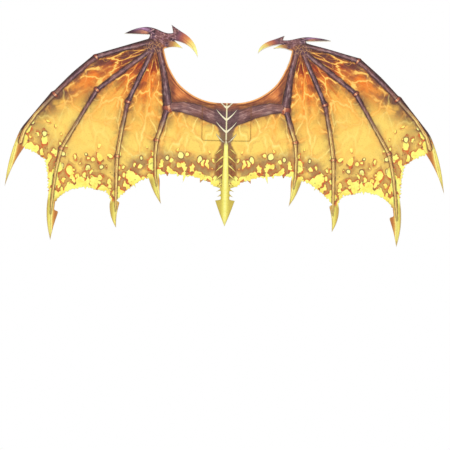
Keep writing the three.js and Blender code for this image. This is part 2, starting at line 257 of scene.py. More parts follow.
# A torn tooth has edges shorter than this, and is shifted by about so much. Where the torn hem starts.
TOOTH_EDGE, TOOTH_SHIFT = 9.0, 2.4
HEM_START, HEM_TOP = 26, -40


def inward_of(ring):
    """Unit vectors into the felt at the points of a ring."""
    way = np.roll(ring, -1, 0) - np.roll(ring, 1, 0)
    way /= np.maximum(np.linalg.norm(way, axis=1), 1e-9)[:, None]
    return np.stack([-way[:, 1], way[:, 0]], 1)


def corners_of(ring):
    """The ring's real corners: the points, the lengths of their edges before and after, and the turns."""
    while True:
        before, after = ring - np.roll(ring, 1, 0), np.roll(ring, -1, 0) - ring
        lengths = np.linalg.norm(before, axis=1), np.linalg.norm(after, axis=1)
        cross = before[:, 0] * after[:, 1] - before[:, 1] * after[:, 0]
        turn = np.degrees(np.arctan2(cross, (before * after).sum(1)))
        straight = np.abs(turn) < STRAIGHT_TURN
        straight[1:] &= ~straight[:-1]
        if not straight.any():
            return ring, lengths[0], lengths[1], turn
        ring = ring[~straight]


def eased(ring):
    """The outline as scissors cut it: smooth curves, sharp tips, and torn teeth that all differ."""
    ring, before, after, turn = corners_of(ring)
    tooth = (before < TOOTH_EDGE) & (after < TOOTH_EDGE) & (np.abs(turn) > CURVE_TURN)
    tooth &= (np.abs(ring[:, 0]) > HEM_START) & (ring[:, 1] < HEM_TOP)
    away = np.stack([np.abs(ring[:, 0]), ring[:, 1]], 1)
    shift = np.stack([uneven(away, 7, 21) * np.sign(ring[:, 0]), uneven(away, 9, 22)], 1)
    ring = np.where(tooth[:, None], ring + TOOTH_SHIFT * shift, ring)
    ring, before, after, turn = corners_of(ring)
    points = []
    for k, corner in enumerate(ring):
        shorter = min(before[k], after[k])
        if abs(turn[k]) < CURVE_TURN:
            reach = min(CURVE_SHARE * shorter, CURVE_REACH)
        elif abs(turn[k]) > TIP_TURN:
            reach = 0.0
        elif turn[k] > 0:
            reach = TOOTH_SHARE * shorter if shorter < TOOTH_EDGE else 0.0
        else:
            reach = min(CROTCH_SHARE * shorter, CROTCH_REACH)
        if reach < LEAST_REACH:
            points.append(corner)
            continue
        start = corner + (ring[k - 1] - corner) * reach / before[k]
        end = corner + (ring[(k + 1) % len(ring)] - corner) * reach / after[k]
        steps = 4 if reach > 2 and abs(turn[k]) > 8 else 2
        for t in np.linspace(0, 1, steps + 1):
            points.append((1 - t) ** 2 * start + 2 * t * (1 - t) * corner + t**2 * end)
    return np.array(points)


def signed_area(ring):
    q = np.roll(ring, -1, 0)
    return 0.5 * np.sum(ring[:, 0] * q[:, 1] - q[:, 0] * ring[:, 1])


def inside(points, ring):
    hit = np.zeros(len(points), bool)
    x, y = points[:, 0], points[:, 1]
    for (x1, y1), (x2, y2) in zip(ring, np.roll(ring, -1, 0)):
        if y1 == y2:
            continue
        crosses = (y1 > y) != (y2 > y)
        hit ^= crosses & (x < (x2 - x1) * (y - y1) / (y2 - y1) + x1)
    return hit


def to_polyline(points, line, closed=False):
    """Distance to a polyline, the run along it there, the signed side, and the polyline's length."""
    line = np.asarray(line, float)
    ends = np.roll(line, -1, 0) if closed else line[1:]
    starts = line if closed else line[:-1]
    best = np.full(len(points), 1e9)
    run = np.zeros(len(points))
    side = np.zeros(len(points))
    before = 0.0
    for p, q in zip(starts, ends):
        way = q - p
        length = np.linalg.norm(way)
        if length < 1e-9:
            continue
        t = np.clip((points - p) @ way / length**2, 0, 1)
        rel = points - (p + t[:, None] * way)
        d = np.hypot(rel[:, 0], rel[:, 1])
        nearer = d < best
        best = np.where(nearer, d, best)
        run = np.where(nearer, before + t * length, run)
        turn = way[0] * rel[:, 1] - way[1] * rel[:, 0]
        side = np.where(nearer, np.sign(turn) * d, side)
        before += length
    return best, run, side, before


def grid_inside(ring, spacing, keep_off):
    low, high = ring.min(0), ring.max(0)
    rows = np.arange(low[1], high[1], spacing * math.sqrt(3) / 2)
    points = []
    for k, y in enumerate(rows):
        xs = np.arange(low[0] + (k % 2) * spacing / 2, high[0], spacing)
        points.append(np.stack([xs, np.full_like(xs, y)], 1))
    points = np.concatenate(points)
    points = points[inside(points, ring)]
    near = to_polyline(points, ring, closed=True)[0]
    return points[near > keep_off]


def triangulated(ring, inner):
    """Triangles of the ring filled with the inner points. The ring's points come first, in their order."""
    points = [Vector(p) for p in np.concatenate([ring, inner])]
    count = len(ring)
    edges = [(i, (i + 1) % count) for i in range(count)]
    verts, _, faces, orig, _, _ = delaunay_2d_cdt(points, edges, [list(range(count))], 1, 1e-6)
    place = {}
    for i, olds in enumerate(orig):
        place[i] = min(olds) if olds else None
    if len(verts) != len(points):
        raise SystemExit(f"the outline crosses itself: {len(verts)} points from {len(points)}")
    out = np.array([[place[i] for i in f] for f in faces])
    allp = np.concatenate([ring, inner])
    a, b, c = allp[out[:, 0]], allp[out[:, 1]], allp[out[:, 2]]
    area = (b[:, 0] - a[:, 0]) * (c[:, 1] - a[:, 1]) - (c[:, 0] - a[:, 0]) * (b[:, 1] - a[:, 1])
    out[area < 0] = out[area < 0][:, ::-1]
    return out[np.abs(area) > 1e-9]


# The print's figure on the flat cut: bones of one wing, mirrored for the other. Millimetres.
WRIST = (143, 146)
ELBOW = (113, 29)
BONES = {
    # name: (points, half widths at them)
    "finger_1": (
        [(150, 155), (205, 140), (254, 122), (293, 85), (331, 46), (366, 8), (388, -26), (394, -46)],
        [4.8, 5.2, 5.0, 4.6, 4.2, 3.8, 4.0, 4.6],
    ),
    "finger_2": (
        [WRIST, (200, 98), (251, 57), (285, -2), (317, -57), (327, -100), (332, -143), (335, -182)],
        [4.4, 5.2, 4.4, 3.5, 3.4, 3.1, 2.8, 0.9],
    ),
    "finger_3": (
        [WRIST, (168, 88), (191, 36), (202, -17), (210, -69), (211, -110), (211, -150), (211, -174)],
        [4.4, 4.7, 4.2, 4.0, 3.7, 3.3, 2.9, 0.9],
    ),
    "finger_4": (
        [ELBOW, (124, -4), (134, -36), (137, -68), (136, -102), (133, -124)],
        [5.5, 5, 3.4, 3.2, 2.8, 0.9],
    ),
    "forearm": ([(133, 140), (121, 84), ELBOW], [5.5, 6.2, 9.5]),
    "upper_arm": ([ELBOW, (84, 29), (54, 22), (26, 12), (0, 2)], [8, 11, 12.5, 14, 16]),
}
CLAWS = {
    "finger_1": [(398, -30), (408, -75), (423, -131)],
    "finger_2": [(332, -143), (335, -190), (334, -232)],
    "finger_3": [(211, -150), (211, -180), (209, -207)],
    "finger_4": [(136, -102), (132, -130), (124, -159)],
}
# How far a bone has turned golden at its two ends, where 0.46 is not at all and 0.74 wholly.
GILT_RANGE = {
    "finger_1": (0, 0.8),
    "finger_2": (0, 1.08),
    "finger_3": (0, 1.18),
    "finger_4": (0.34, 1.3),
    "forearm": (0, 0),
    "upper_arm": (0, 0),
}
JOINTS = [(255, 122), (331, 46), (251, 57), (317, -57), (191, 36), (210, -69), (134, -36), (113, 29)]
# The torn hem between the claws, and how high the burnt band over each stretch is: a share of the highest.
HEM_CURVES = [
    ([(387, -57), (366, -62), (346, -80), (340, -108), (339, -141)], 0.8),
    (
        [
            (327, -159), (318, -147), (307, -140), (287, -132),
            (266, -130), (248, -132), (231, -138), (220, -151),
        ],
        1.0,
    ),
    ([(210, -153), (195, -138), (173, -123), (148, -111)], 0.78),
    ([(129, -102), (102, -102), (76, -105), (46, -110), (20, -123)], 0.7),
]
HORN = [(150, 178), (170, 184), (204, 173)]
BEAK = [(104, 172), (86, 165), (70, 150), (58, 126)]
JAW = [(122, 152), (104, 150), (88, 145)]
# The line that parts the arm from the rusty felt of the neckline, and the one that the thumb stands on.
ARM_TOP = [(160, 146), (133, 140), (121, 84), (113, 29), (84, 27), (54, 20), (26, 10), (0, 4)]
THUMB_FOOT = [(118, 146), (140, 158), (158, 168), (175, 160)]
# The circle that the neckline nearly follows, and the middle of the wrist's tangle.
NECK_MIDDLE, NECK_RADIUS = 172.0, 120.0
HUB = (142, 146)
# A joint swells the bone by so much, over so much of its length. Nothing of a joint shows past JOINT_FAR.
KNUCKLE, KNUCKLE_REACH, JOINT_FAR = 2.0, 3.5, 50


def runs_of(line):
    """How far along a line each of its points is."""
    line = np.asarray(line, float)
    return np.concatenate([[0], np.cumsum(np.linalg.norm(np.diff(line, axis=0), axis=1))])


def figure(points):
    """What the print's material reads at flat points, by name. Lengths are metres."""
    away = np.stack([np.abs(points[:, 0]), points[:, 1]], 1)
    best = np.full(len(away), 1e9)
    out = {k: np.zeros(len(away)) for k in ("bone_side", "bone_run", "joint_gap", "arm")}
    place = np.zeros((len(away), 3))
    for name, (line, halves) in BONES.items():
        d, run, side, total = to_polyline(away, line)
        half = np.interp(run, runs_of(line), halves)
        knob = np.full(len(away), 1e9)
        for x, y in JOINTS:
            off, at, _, _ = to_polyline(np.array([[x, y]], float), line)
            if off[0] < 5:
                knob = np.minimum(knob, np.abs(run - at[0]))
        half = half + KNUCKLE * np.exp(-((knob / KNUCKLE_REACH) ** 2))
        rel = d - half
        nearer = rel < best
        best = np.where(nearer, rel, best)
        first, last = GILT_RANGE[name]
        reach = first + (last - first) * run / total
        out["bone_side"] = np.where(nearer, side / half, out["bone_side"])
        out["bone_run"] = np.where(nearer, reach, out["bone_run"])
        out["arm"] = np.where(nearer, float(name == "upper_arm"), out["arm"])
        out["joint_gap"] = np.where(nearer, np.minimum(knob, JOINT_FAR) * MM, out["joint_gap"])
        here = np.stack([side * MM, run * MM, np.full(len(away), len(name) * 0.1)], 1)
        place = np.where(nearer[:, None], here, place)
    out["bone_gap"] = best * MM
    out["bone_place"] = place
    lead_gap, _, lead_side, _ = to_polyline(away, BONES["finger_1"][0])
    out["lead_gap"] = lead_gap * MM
    out["lead_side"] = lead_side * MM

    claw_best = np.full(len(away), 1e9)
    claw_side = np.zeros(len(away))
    claw_run = np.zeros(len(away))
    for line in CLAWS.values():
        d, run, side, total = to_polyline(away, line)
        nearer = d < claw_best
        claw_best = np.where(nearer, d, claw_best)
        claw_side = np.where(nearer, side, claw_side)
        claw_run = np.where(nearer, run / total, claw_run)
    out["claw_side"] = claw_side * MM
    out["claw_run"] = claw_run
    out["claw_gap"] = claw_best * MM

    hem = np.full(len(away), 1e9)
    for line, share in HEM_CURVES:
        hem = np.minimum(hem, to_polyline(away, line)[0] / share)
    out["hem_gap"] = hem * MM

    for name, line in (("horn", HORN), ("beak", BEAK), ("jaw", JAW)):
        d, run, side, total = to_polyline(away, line)
        out[name + "_gap"] = d * MM
        out[name + "_run"] = run / total
        if name != "jaw":
            out[name + "_side"] = side * MM

    rel = away - np.array(WRIST)
    r = np.hypot(rel[:, 0], rel[:, 1])
    out["wrist_far"] = r * MM
    out["polar"] = np.stack([np.arctan2(rel[:, 1], rel[:, 0]) * 0.16, r * MM, np.zeros(len(r))], 1)
    out["flat"] = np.stack([away[:, 0] * MM, away[:, 1] * MM, np.zeros(len(r))], 1)
    return out


# Materials. A short hand for building node trees.
def rgb(r, g, b):
    """A colour from its 0 to 255 screen values."""
    def linear(c):
        c /= 255
        return c / 12.92 if c <= 0.04045 else ((c + 0.055) / 1.055) ** 2.4
    return (linear(r), linear(g), linear(b), 1.0)


class Value:
    """A number, colour or vector in a node tree. Sums, products and soft steps of it are nodes too."""

    def __init__(self, nodes, socket):
        self.nodes = nodes
        self.socket = socket

    def __add__(self, other):
        return self.nodes.math("ADD", self, other)

    def __radd__(self, other):
        return self.nodes.math("ADD", other, self)

    def __sub__(self, other):
        return self.nodes.math("SUBTRACT", self, other)

    def __rsub__(self, other):
        return self.nodes.math("SUBTRACT", other, self)

    def __mul__(self, other):
        return self.nodes.math("MULTIPLY", self, other)

    def __abs__(self):
        return self.nodes.math("ABSOLUTE", self)

    def step(self, low, high, first, last):
        node = self.nodes.make("ShaderNodeMapRange", interpolation_type="SMOOTHSTEP")
        self.nodes.put(node.inputs["Value"], self)
        ends = {"From Min": low, "From Max": high, "To Min": first, "To Max": last}
        for name, end in ends.items():
            node.inputs[name].default_value = end
        return Value(self.nodes, node.outputs["Result"])

    def rise(self, low, high):
        """0 below low, and 1 above high."""
        return self.step(low, high, 0.0, 1.0)

    def fall(self, low, high):
        """1 below low, and 0 above high."""
        return self.step(low, high, 1.0, 0.0)

    def span(self, low, high, soft):
        """1 between low and high, with soft ends."""
        return self.rise(low - soft, low + soft) * self.fall(high - soft, high + soft)


class Nodes:
    """A material under construction."""

    def __init__(self, name):
        self.material = bpy.data.materials.new(name)
        self.material.use_nodes = True
        self.tree = self.material.node_tree
        self.tree.nodes.clear()
        self.out = self.tree.nodes.new("ShaderNodeOutputMaterial")

    def make(self, kind, **settings):
        node = self.tree.nodes.new(kind)
        for key, value in settings.items():
            setattr(node, key, value)
        return node

    def put(self, socket, value):
        if isinstance(value, Value):
            self.tree.links.new(value.socket, socket)
        else:
            socket.default_value = value

    def math(self, kind, a, b=0.0):
        node = self.make("ShaderNodeMath", operation=kind)
        self.put(node.inputs[0], a)
        self.put(node.inputs[1], b)
        return Value(self, node.outputs[0])

    def most(self, a, b):
        return self.math("MAXIMUM", a, b)

    def mix(self, share, a, b, kind="MIX"):
        node = self.make("ShaderNodeMix", data_type="RGBA", blend_type=kind)
        for place, value in ((0, share), (6, a), (7, b)):
            self.put(node.inputs[place], value)
        return Value(self, node.outputs[2])

    def ramp(self, x, stops):
        """Colours along x. Each stop is a place and a colour's three screen values."""
        node = self.make("ShaderNodeValToRGB")
        self.put(node.inputs[0], x)
        row = node.color_ramp.elements
        while len(row) < len(stops):
            row.new(0.5)
        for element, (place, *colour) in zip(row, stops):
            element.position = place
            element.color = rgb(*colour)
        return Value(self, node.outputs[0])

    def number(self, name):
        return Value(self, self.make("ShaderNodeAttribute", attribute_name=name).outputs["Fac"])

    def vector(self, name):
        return Value(self, self.make("ShaderNodeAttribute", attribute_name=name).outputs["Vector"])

    def parts(self, v):
        node = self.make("ShaderNodeSeparateXYZ")
        self.put(node.inputs[0], v)
        return [Value(self, socket) for socket in node.outputs]

    def stretched(self, v, scale, shift=(0, 0, 0)):
        node = self.make("ShaderNodeMapping", vector_type="POINT")
        self.put(node.inputs["Vector"], v)
        node.inputs["Scale"].default_value = scale
        node.inputs["Location"].default_value = shift
        return Value(self, node.outputs[0])

    def noise(self, v, scale, detail=2.0, rough=0.5, warp=0.0, output="Fac"):
        node = self.make("ShaderNodeTexNoise")
        self.put(node.inputs["Vector"], v)
        settings = {"Scale": scale, "Detail": detail, "Roughness": rough, "Distortion": warp}
        for name, setting in settings.items():
            node.inputs[name].default_value = setting
        return Value(self, node.outputs[output])

    def cells(self, v, scale, feature="F1", output="Distance", random=1.0, smoothness=0.0):
        node = self.make("ShaderNodeTexVoronoi", feature=feature, voronoi_dimensions="2D")
        self.put(node.inputs["Vector"], v)
        node.inputs["Scale"].default_value = scale
        node.inputs["Randomness"].default_value = random
        if feature == "SMOOTH_F1":
            node.inputs["Smoothness"].default_value = smoothness
        return Value(self, node.outputs[output])

    def warped(self, v, scale, reach):
        """The vector shifted by noise of up to half of reach."""
        colour = self.noise(v, scale, output="Color")
        less = self.make("ShaderNodeVectorMath", operation="SUBTRACT")
        self.put(less.inputs[0], colour)
        less.inputs[1].default_value = (0.5, 0.5, 0.5)
        more = self.make("ShaderNodeVectorMath", operation="MULTIPLY_ADD")
        self.put(more.inputs[0], Value(self, less.outputs[0]))
        more.inputs[1].default_value = (reach, reach, reach)
        self.put(more.inputs[2], v)
        return Value(self, more.outputs[0])

    def bump(self, height, distance, strength):
        node = self.make("ShaderNodeBump")
        node.inputs["Distance"].default_value = distance
        node.inputs["Strength"].default_value = strength
        self.put(node.inputs["Height"], height)
        return Value(self, node.outputs[0])

    def finish(self, colour, roughness, normal=None, sheen=0.0):
        shader = self.make("ShaderNodeBsdfPrincipled")
        self.put(shader.inputs["Base Color"], colour)
        shader.inputs["Roughness"].default_value = roughness
        shader.inputs["Specular IOR Level"].default_value = 0.25
        shader.inputs["Sheen Weight"].default_value = sheen
        if normal is not None:
            self.put(shader.inputs["Normal"], normal)
        self.tree.links.new(shader.outputs[0], self.out.inputs[0])
        return self.material


def felt_relief(n, place):
    """Matted fibres: a height and a faint light and dark mottle."""
    fibres = n.noise(n.warped(place, 900, 0.0012), 1500, 3.0, 0.6)
    clumps = n.noise(place, 380, 2.0, 0.5)
    height = fibres * 0.6 + clumps * 0.4
    return height, fibres, clumps


class Print(Nodes):
    """What is printed on the felt, in layers from the membrane up. Each layer takes the colour under it."""

    def __init__(self):
        super().__init__("printed_felt")
        self.flat = self.vector("flat")
        self.polar = self.vector("polar")
        self.bone_place = self.vector("bone_place")
        self.across, self.up, _ = self.parts(self.flat)
        self.far = self.number("wrist_far")
        self.gap = self.number("bone_gap")
        self.side = self.number("bone_side")
        self.run = self.number("bone_run")
        self.joint = self.number("joint_gap")
        self.lead = self.number("lead_gap")
        self.hem = self.number("hem_gap")
        self.rim = self.number("rim_gap")
        self.claw_run = self.number("claw_run")
        self.soft = self.noise(self.flat, 26, 3.0, 0.55)
        self.medium = self.noise(self.flat, 62, 3.0, 0.55)
        self.fine = self.noise(self.flat, 150, 3.0, 0.6)
        self.wiggle = (self.fine - 0.5) * 0.0018
        self.flame = self.noise(self.stretched(self.polar, (1.0, 0.2, 1.0)), 80, 3.0, 0.6, 0.3)
        self.burnt = self.noise(self.warped(self.flat, 60, 0.02), 34, 3.0, 0.6).rise(0.42, 0.58)
        self.near = (self.far + (self.soft - 0.5) * 0.06).fall(0.07, 0.2)

    def membrane(self):
        """Deep orange at the wrist, amber, then pale gold towards the hem."""
        heat = self.far * (1 / 0.24) + (self.soft - 0.5) * 0.35
        lick = (self.flame - 0.5) * (0.22 + self.near * 0.75)
        heat = heat + lick - self.lead.fall(0.01, 0.075) * 0.3
        return self.ramp(heat, [
            (0.0, 146, 52, 20), (0.1, 200, 82, 26), (0.24, 232, 118, 38), (0.38, 238, 146, 56),
            (0.56, 244, 184, 80), (0.8, 250, 212, 104),
        ])

    def smoke(self, colour):
        """Burnt felt along the bones and under the leading edge, thickest towards the wrist."""
        under_lead = self.lead.fall(0.008, 0.05) * self.far.fall(0.2, 0.32)
        drifts = self.noise(self.warped(self.flat, 40, 0.02), 36, 3.0).rise(0.36, 0.58)
        colour = self.mix(under_lead * drifts * 0.9, colour, rgb(98, 64, 62))
        close = self.lead.fall(0.004, 0.02) * self.far.fall(0.24, 0.34)
        colour = self.mix(close * (0.35 + self.burnt * 0.6), colour, rgb(70, 42, 42))
        beside = self.gap.fall(0.0, 0.02) * self.far.fall(0.13, 0.26)
        beside = beside * (0.4 + self.burnt * 0.6)
        colour = self.mix(beside * 0.72, colour, rgb(88, 50, 50))
        dusk = self.gap.fall(-0.001, 0.009) * self.far.rise(0.06, 0.2)
        dusk = dusk * (0.22 + self.burnt * 0.38)
        return self.mix(dusk, colour, rgb(142, 98, 78))

    def cracks(self, colour):
        """Glowing cracks that branch away from the wrist, with burnt felt in their meshes."""
        bent = self.warped(self.stretched(self.polar, (1.0, 0.72, 1.0)), 38, 0.03)
        bent = self.warped(bent, 130, 0.006)
        edge = self.cells(bent, 30, "DISTANCE_TO_EDGE")
        hot = self.far.fall(0.1, 0.28)
        lit = 0.2 + hot * 0.8
        broken = self.noise(self.flat, 44, 2.0).rise(0.38, 0.55)
        char = edge.rise(0.12, 0.34) * (self.near * self.burnt)
        colour = self.mix(char * 0.42, colour, rgb(112, 48, 30))
        glow = edge.fall(0.0, 0.2) * (lit * (0.2 + broken * 0.5))
        colour = self.mix(glow, colour, rgb(250, 146, 40))
        core = edge.fall(0.02, 0.075) * (lit * (0.12 + broken * 0.88))
        colour = self.mix(core, colour, rgb(255, 206, 106))
        small = self.cells(self.stretched(bent, (1.0, 1.0, 1.0), (0.4, 0.2, 0)), 66, "DISTANCE_TO_EDGE")
        hair = small.fall(0.01, 0.08) * (self.near * self.medium.rise(0.45, 0.6))
        return self.mix(hair * 0.6, colour, rgb(250, 176, 76))

    def veins(self, colour):
        """Faint pale veins that hang in the cooler felt."""
        hanging = self.warped(self.stretched(self.flat, (1.0, 0.5, 1.0)), 46, 0.022)
        edge = self.cells(self.warped(hanging, 150, 0.004), 33, "DISTANCE_TO_EDGE")
        cool = self.far.rise(0.1, 0.17) * self.soft.rise(0.38, 0.55)
        inner = 0.32 + self.across.fall(0.19, 0.23) * 0.5
        shade = edge.span(0.1, 0.17, 0.05) * cool * (inner * 0.45)
        colour = self.mix(shade, colour, rgb(214, 150, 72))
        return self.mix(edge.fall(0.008, 0.055) * cool * inner, colour, rgb(255, 228, 132))

    def blobs(self, place, scale, radius, shy):
        """How far inside a rounded blob a point is, in cells. Fewer are left the higher they lie."""
        lot = self.parts(self.cells(place, scale, "SMOOTH_F1", "Color", smoothness=0.35))[0]
        away = self.cells(place, scale, "SMOOTH_F1", smoothness=0.35)
        absent = (lot + self.hem * shy).rise(1.02, 1.1)
        return radius - away - absent * 0.8

    def burnt_hem(self, colour):
        """A smoky band, then lemon blobs with rusty rims that run together at the hem."""
        ragged = self.warped(self.warped(self.flat, 60, 0.012), 170, 0.0032)
        height = self.hem + (self.soft - 0.5) * 0.05
        band = height.fall(0.045, 0.078) * self.noise(ragged, 30, 3.0).rise(0.34, 0.56)
        inner = 0.3 + self.across.fall(0.18, 0.23) * 0.45
        ash = self.mix(self.medium, rgb(104, 76, 70), rgb(164, 122, 84))
        colour = self.mix(band * inner, colour, ash)

        tall = self.stretched(ragged, (1.0, 0.64, 1.0))
        lumps = (self.noise(ragged, 80, 2.0) - 0.5) * 0.5
        shrink = self.hem.rise(0.0, 0.05) * 0.26
        outer_bays = self.across.rise(0.13, 0.14)
        widest = 0.53 - outer_bays * 0.09
        radius = widest - shrink * (1.0 - outer_bays * 0.45) + lumps
        radius = radius + self.hem.fall(0.0, 0.006) * 0.07
        large = self.blobs(tall, 50, radius - (1.0 - outer_bays) * 0.22, 1 / 0.08)
        small = self.blobs(tall, 98, radius - outer_bays * 0.06, 1 / 0.085)
        level = self.most(large, small - 0.02)
        haze = level.rise(-0.55, -0.12) * self.hem.fall(0.055, 0.08)
        colour = self.mix(haze * 0.6, colour, rgb(172, 108, 62))
        rust = level.rise(-0.16, -0.05) * self.hem.fall(0.07, 0.088)
        rusty = self.mix(self.fine.rise(0.36, 0.58), rgb(136, 78, 56), rgb(222, 98, 44))
        colour = self.mix(rust * 0.9, colour, rusty)
        lemon = self.mix(self.medium.rise(0.38, 0.7), rgb(253, 250, 128), rgb(248, 226, 100))
        colour = self.mix(level.rise(-0.03, 0.02), colour, lemon)

        prick = self.cells(self.flat, 46, "F1", random=1.0)
        pricks = prick.fall(0.045, 0.08) * self.hem.fall(0.04, 0.05)
        return self.mix(pricks * 0.6, colour, rgb(126, 100, 50))

    def dots(self, colour):
        """Small pale dots in dark rings, above the blobs."""
        place = self.warped(self.stretched(self.flat, (1.0, 0.85, 1.0)), 70, 0.006)
        away = self.cells(place, 56, "F1", random=0.95)
        size, lot, _ = self.parts(self.cells(place, 56, "F1", "Color", random=0.95))
        away = away - (size - 0.4) * 0.16
        chosen = (lot - self.across.rise(0.13, 0.14) * 0.1).rise(0.46, 0.48)
        here = self.hem.span(0.036, 0.066, 0.004) * chosen
        colour = self.mix(away.fall(0.25, 0.3) * here * 0.85, colour, rgb(118, 76, 54))
        return self.mix(away.fall(0.165, 0.195) * here, colour, rgb(254, 246, 146))

    def claws(self, colour):
        """Lemon with an orange brown edge and a thin dark line."""
        lean = self.number("claw_side") + self.wiggle
        paint = self.ramp(lean.rise(-0.009, 0.009), [
            (0.0, 184, 112, 58), (0.16, 226, 168, 82), (0.32, 250, 240, 140), (0.46, 248, 236, 134),
            (0.5, 140, 112, 66), (0.56, 246, 234, 126), (0.8, 232, 218, 104), (1.0, 196, 170, 78),
        ])
        paint = self.mix(self.medium.rise(0.5, 0.7) * 0.3, paint, rgb(214, 180, 88))
        paint = self.mix(self.rim.fall(0.0004, 0.0022) * 0.5, paint, rgb(168, 114, 62))
        here = self.claw_run.rise(0.01, 0.2) * self.number("claw_gap").fall(0.011, 0.017)
        return self.mix(here, colour, paint)

    def ridge(self):
        """Where a point lies across a bone, from -1 to 1, drawn out into strands."""
        sinews = self.noise(self.stretched(self.bone_place, (1.0, 0.16, 1.0)), 420, 3.0, 0.6)
        return self.side + (sinews - 0.5) * 1.3

    def bone_edge(self):
        wobble = (self.medium - 0.5) * 0.004
        return self.gap + wobble + self.wiggle

    def bones(self, colour):
        """Dark flanks, a mauve body and a light ridge, golden towards the claws."""
        ridge, edge = self.ridge(), self.bone_edge()
        body = self.ramp(ridge.rise(-1.1, 1.1), [
            (0.0, 60, 38, 42), (0.2, 92, 62, 70), (0.34, 120, 86, 94), (0.42, 174, 144, 146),
            (0.49, 130, 94, 98), (0.66, 112, 78, 84), (0.84, 80, 52, 58), (1.0, 52, 32, 34),
        ])
        golden = self.ramp(ridge.rise(-1.05, 1.05), [
            (0.0, 128, 82, 52), (0.16, 222, 172, 96), (0.36, 254, 236, 146), (0.5, 234, 190, 108),
            (0.61, 128, 88, 56), (0.7, 232, 190, 106), (0.84, 206, 150, 84), (1.0, 122, 78, 50),
        ])
        mottle = self.noise(self.stretched(self.bone_place, (1.0, 0.4, 1.0)), 190, 3.0, 0.6)
        body = self.mix(self.soft.rise(0.45, 0.62) * 0.4, body, rgb(150, 92, 76))
        body = self.mix(mottle.rise(0.5, 0.64) * 0.55, body, rgb(60, 38, 42))
        body = self.mix(mottle.fall(0.34, 0.46) * 0.35, body, rgb(190, 158, 154))
        strands = self.noise(self.stretched(self.bone_place, (1.0, 0.12, 1.0)), 300, 4.0, 0.65, 0.6)
        flesh = self.ramp(strands + (mottle - 0.5) * 0.5, [
            (0.3, 78, 48, 48), (0.44, 116, 80, 80), (0.54, 146, 106, 102), (0.66, 190, 152, 142),
        ])
        flesh = self.mix(self.soft.rise(0.42, 0.6) * 0.4, flesh, rgb(160, 100, 76))
        flesh = self.mix(self.side.rise(0.3, 1.1) * 0.5, flesh, rgb(74, 46, 48))
        body = self.mix(self.number("arm") * 0.85, body, flesh)
        gilt = (self.run + (self.medium - 0.5) * 0.2).rise(0.46, 0.74)
        paint = self.mix(gilt, body, golden)
        colour = self.mix(edge.fall(0.0, 0.0026) * 0.6, colour, rgb(86, 50, 40))
        crisp = 0.85 - gilt * 0.3 - self.number("arm") * 0.35
        outline = abs(self.side).rise(0.66, 0.98) * crisp
        paint = self.mix(outline, paint, rgb(40, 25, 28))
        here = edge.fall(-0.0006, 0.0005) * self.claw_run.fall(0.3, 0.5)
        colour = self.mix(here, colour, paint)
        outer = self.number("lead_side").rise(0.001, 0.003) * self.lead.fall(0.016, 0.019)
        outer = outer * edge.rise(-0.0012, 0.0) * self.up.rise(-0.036, -0.02)
        return self.mix(outer, colour, self.mix(self.medium, rgb(50, 30, 32), rgb(84, 54, 56)))

    def joints(self, colour):
        """Small knuckles: a dark ring round a lit orange swelling."""
        near_bone = self.bone_edge().fall(-0.0004, 0.0012)
        knuckle = self.joint + (self.fine - 0.5) * 0.004
        ring = knuckle.span(0.0026, 0.0042, 0.0007) * near_bone
        colour = self.mix(ring * 0.75, colour, rgb(70, 38, 38))
        swelling = self.ramp(self.ridge().rise(-1.0, 1.0), [
            (0.0, 140, 66, 46), (0.28, 232, 134, 88), (0.44, 255, 220, 168), (0.6, 206, 112, 78),
            (1.0, 116, 56, 46),
        ])
        return self.mix(knuckle.fall(0.0012, 0.003) * near_bone * 0.8, colour, swelling)

    def neckline(self, colour):
        """Rust-coloured felt between the arm and the neckline, with a thin glowing edge."""
        inner = self.across.fall(0.128, 0.134) * self.number("neck_side").fall(-0.5, 0.5)
        grain = self.noise(self.stretched(self.vector("rim_place"), (0.16, 1.0, 1.0)), 260, 3.0, 0.6)
        paint = self.ramp(grain + (self.soft - 0.5) * 0.4, [
            (0.3, 118, 62, 46), (0.44, 172, 92, 58), (0.56, 214, 124, 68), (0.7, 238, 166, 98),
        ])
        shade = (self.gap + (self.soft - 0.5) * 0.012).fall(0.0, 0.014)
        paint = self.mix(shade * 0.75, paint, rgb(92, 52, 48))
        colour = self.mix(inner * self.gap.rise(-0.001, 0.0015) * 0.95, colour, paint)
        beyond_spine = inner * self.across.rise(0.016, 0.024)
        colour = self.mix(beyond_spine * self.rim.span(0.0034, 0.0052, 0.0006), colour, rgb(122, 62, 44))
        return self.mix(beyond_spine * self.rim.fall(0.0018, 0.0032), colour, rgb(240, 172, 100))

    def wrist(self, colour):
        """A tangle of sinews, and the thumb that grows out of it."""
        tangle = self.warped(self.stretched(self.flat, (1.5, 0.8, 1.0)), 120, 0.012)
        tangle = self.cells(tangle, 130, "DISTANCE_TO_EDGE")
        crumpled = self.warped(self.stretched(self.flat, (0.8, 1.3, 1.0)), 90, 0.014)
        creases = self.cells(crumpled, 140, "DISTANCE_TO_EDGE").fall(0.0, 0.2)
        creases = creases * (0.25 + self.noise(self.flat, 90, 2.0).rise(0.42, 0.58) * 0.45)
        relief = creases + (self.fine - 0.4) * 1.5
        hub = self.ramp(relief, [
            (0.0, 58, 36, 44), (0.28, 94, 64, 78), (0.5, 136, 100, 118), (0.72, 176, 138, 146),
            (0.9, 206, 160, 140),
        ])
        hub = self.mix(self.soft.rise(0.5, 0.6) * 0.3, hub, rgb(160, 98, 78))
        hub = self.mix(self.rim.fall(0.0004, 0.0026) * 0.65, hub, rgb(54, 34, 42))
        colour = self.mix(self.number("thumb"), colour, hub)
        sinew = self.mix(tangle.fall(0.03, 0.12), rgb(92, 60, 70), rgb(204, 150, 104))
        here = self.number("hub_gap") + (self.soft - 0.5) * 0.012
        return self.mix(here.fall(0.008, 0.019) * (0.45 + self.medium * 0.5), colour, sinew)

